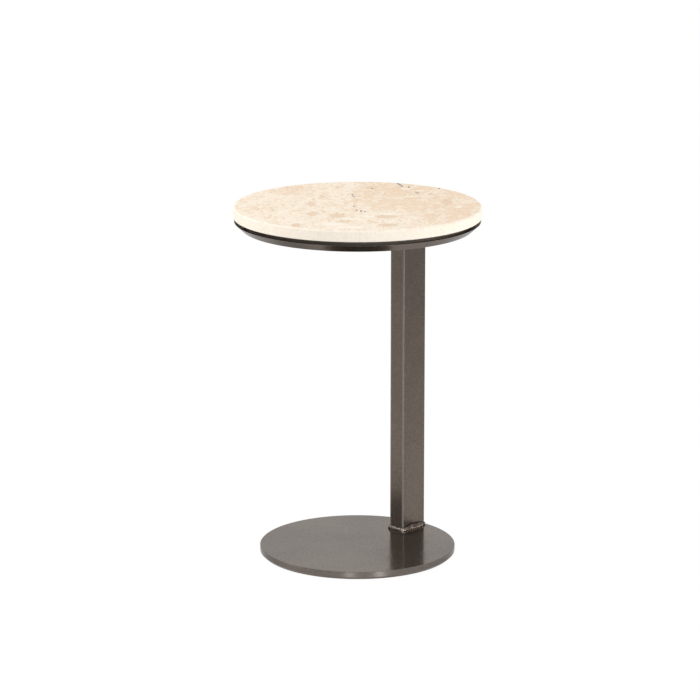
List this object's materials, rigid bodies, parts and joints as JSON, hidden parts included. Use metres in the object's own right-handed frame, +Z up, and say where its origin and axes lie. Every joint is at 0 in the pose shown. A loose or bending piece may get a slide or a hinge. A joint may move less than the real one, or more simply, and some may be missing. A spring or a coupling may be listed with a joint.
{
  "type": "laptop table",
  "caption": "Low round side table with a honed stone top on a flared steel tray, one off-centre rectangular column and a round steel base.",
  "frame": {"origin": "centre of the round base at floor level", "axes": "+Z up the table, +Y from the centre towards the column"},
  "size_m": [0.3999, 0.4, 0.58],
  "materials": {
    "stone": "honed cream limestone",
    "steel": "satin bronze-brown lacquer",
    "weld": "glossy lacquered bead",
    "board": "matt black stained board",
    "screw": "blackened steel",
    "adhesive": "cured silicone adhesive",
    "glide": "moulded glide"
  },
  "bodies": {
    "root": {"stone_top": "stone", "base_plate": "steel", "column_tube": "steel", "top_tray": "steel", "base_weld": "weld", "tray_weld": "weld", "core_board": "board", "core_screw_1": "screw", "core_screw_2": "screw", "core_screw_3": "screw", "core_screw_4": "screw", "core_screw_5": "screw", "core_screw_6": "screw", "bond_pad_1": "adhesive", "bond_pad_2": "adhesive", "bond_pad_3": "adhesive", "bond_pad_4": "adhesive", "bond_pad_5": "adhesive", "bond_pad_6": "adhesive", "bond_pad_7": "adhesive", "floor_glide_1": "glide", "floor_glide_2": "glide", "floor_glide_3": "glide", "floor_glide_4": "glide", "floor_glide_5": "glide", "floor_glide_6": "glide"}
  },
  "joints": []
}
